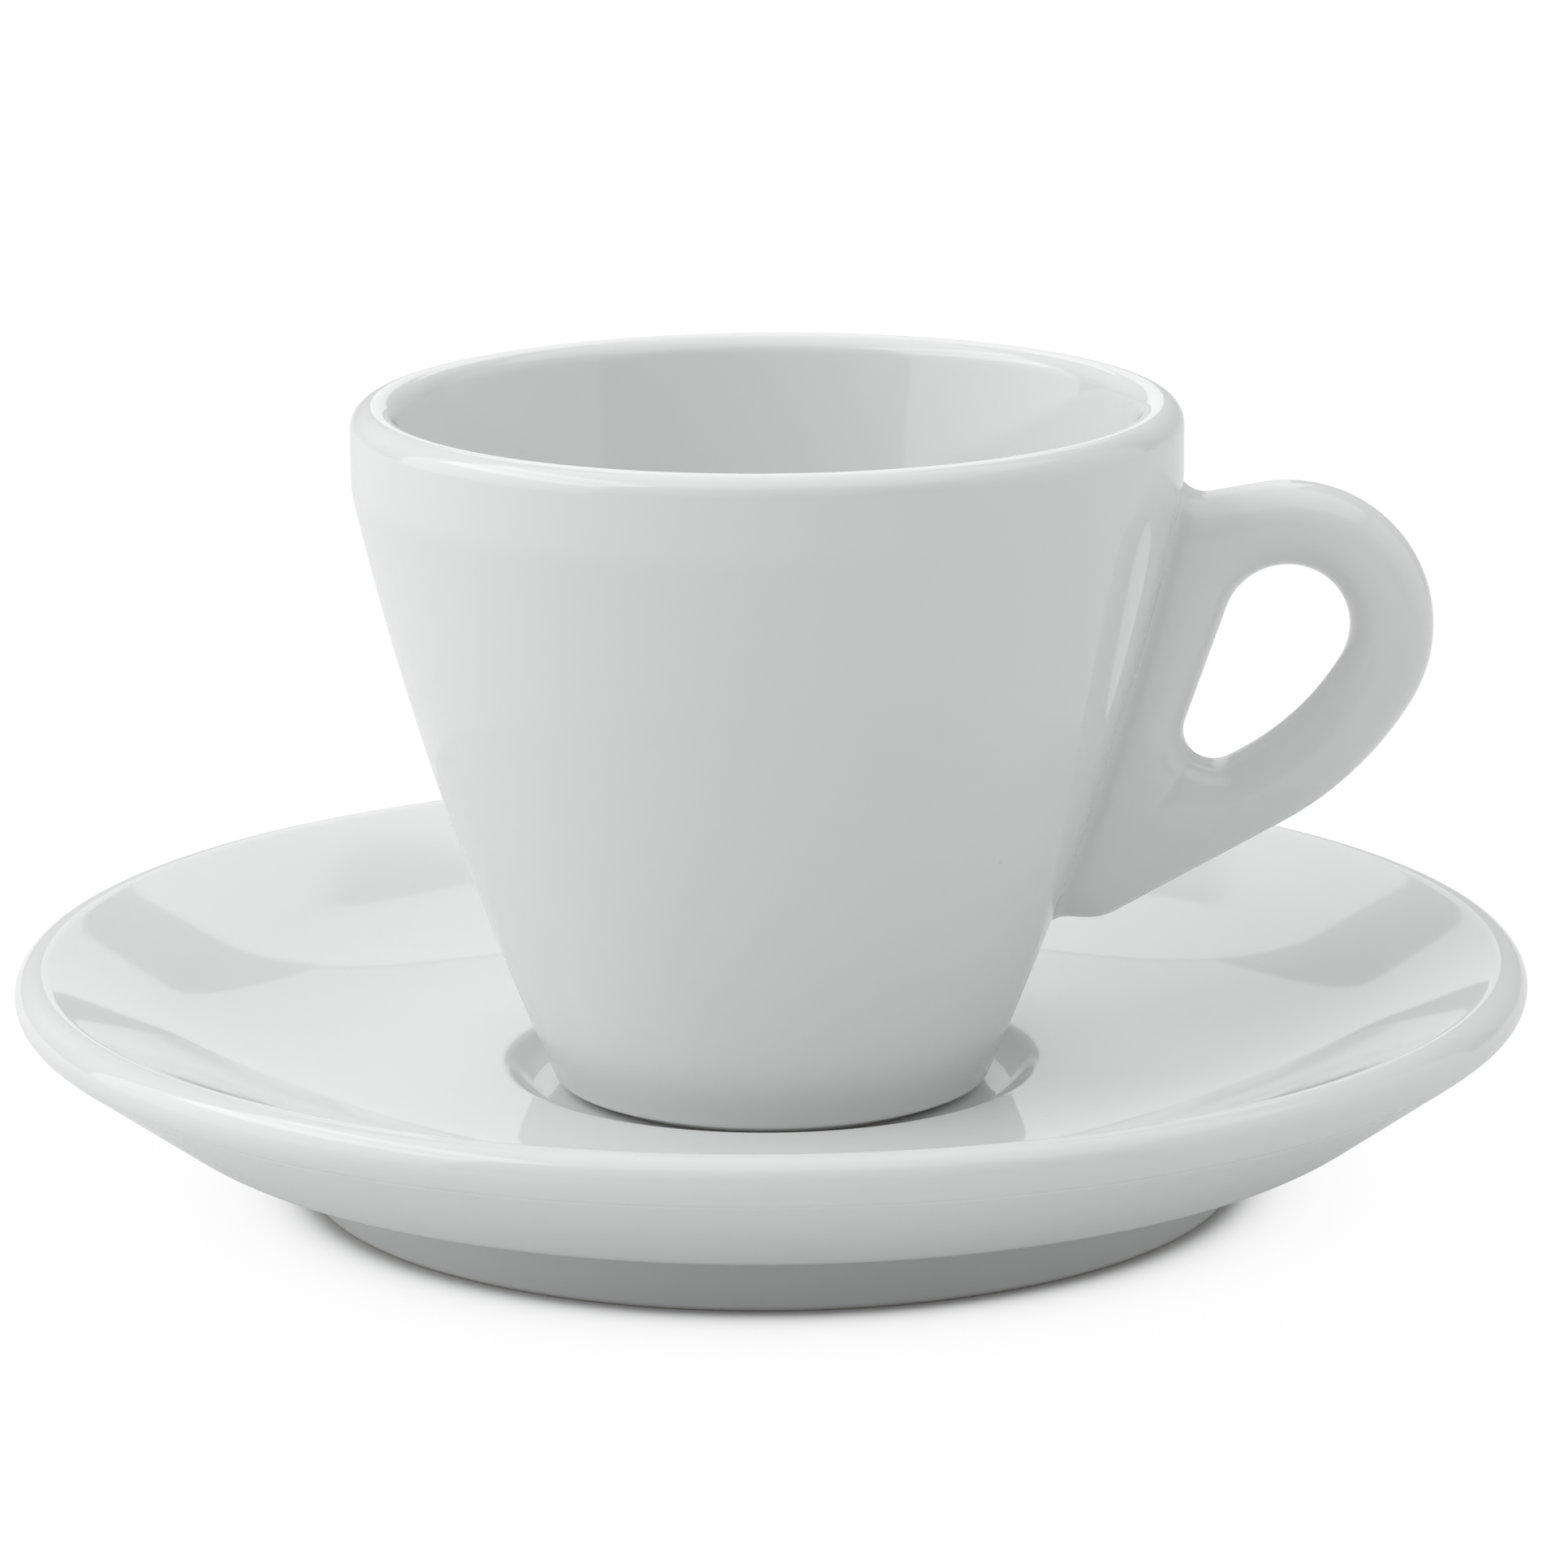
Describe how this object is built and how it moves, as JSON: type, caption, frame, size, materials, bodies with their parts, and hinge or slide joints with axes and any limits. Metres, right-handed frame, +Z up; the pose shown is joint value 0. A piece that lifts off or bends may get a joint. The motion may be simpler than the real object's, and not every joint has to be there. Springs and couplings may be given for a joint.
{
  "type": "espresso cup with saucer",
  "caption": "Tapered thick-walled porcelain espresso cup with a pierced ear handle, standing loose in the well of its round saucer.",
  "frame": {"origin": "on the table under the middle of the saucer", "axes": "+Z up along the axis of cup and saucer, +X towards the handle"},
  "size_m": [0.117, 0.117, 0.0613],
  "materials": {
    "porcelain": "glossy cool white glaze"
  },
  "bodies": {
    "saucer": {"saucer": "porcelain"},
    "cup": {"cup_body": "porcelain", "cup_handle": "porcelain"}
  },
  "joints": [
    {"name": "cup_lift", "type": "slide", "parent": "saucer", "child": "cup", "axis": [0, 0, 1], "range_m": [0, 0.1]}
  ]
}
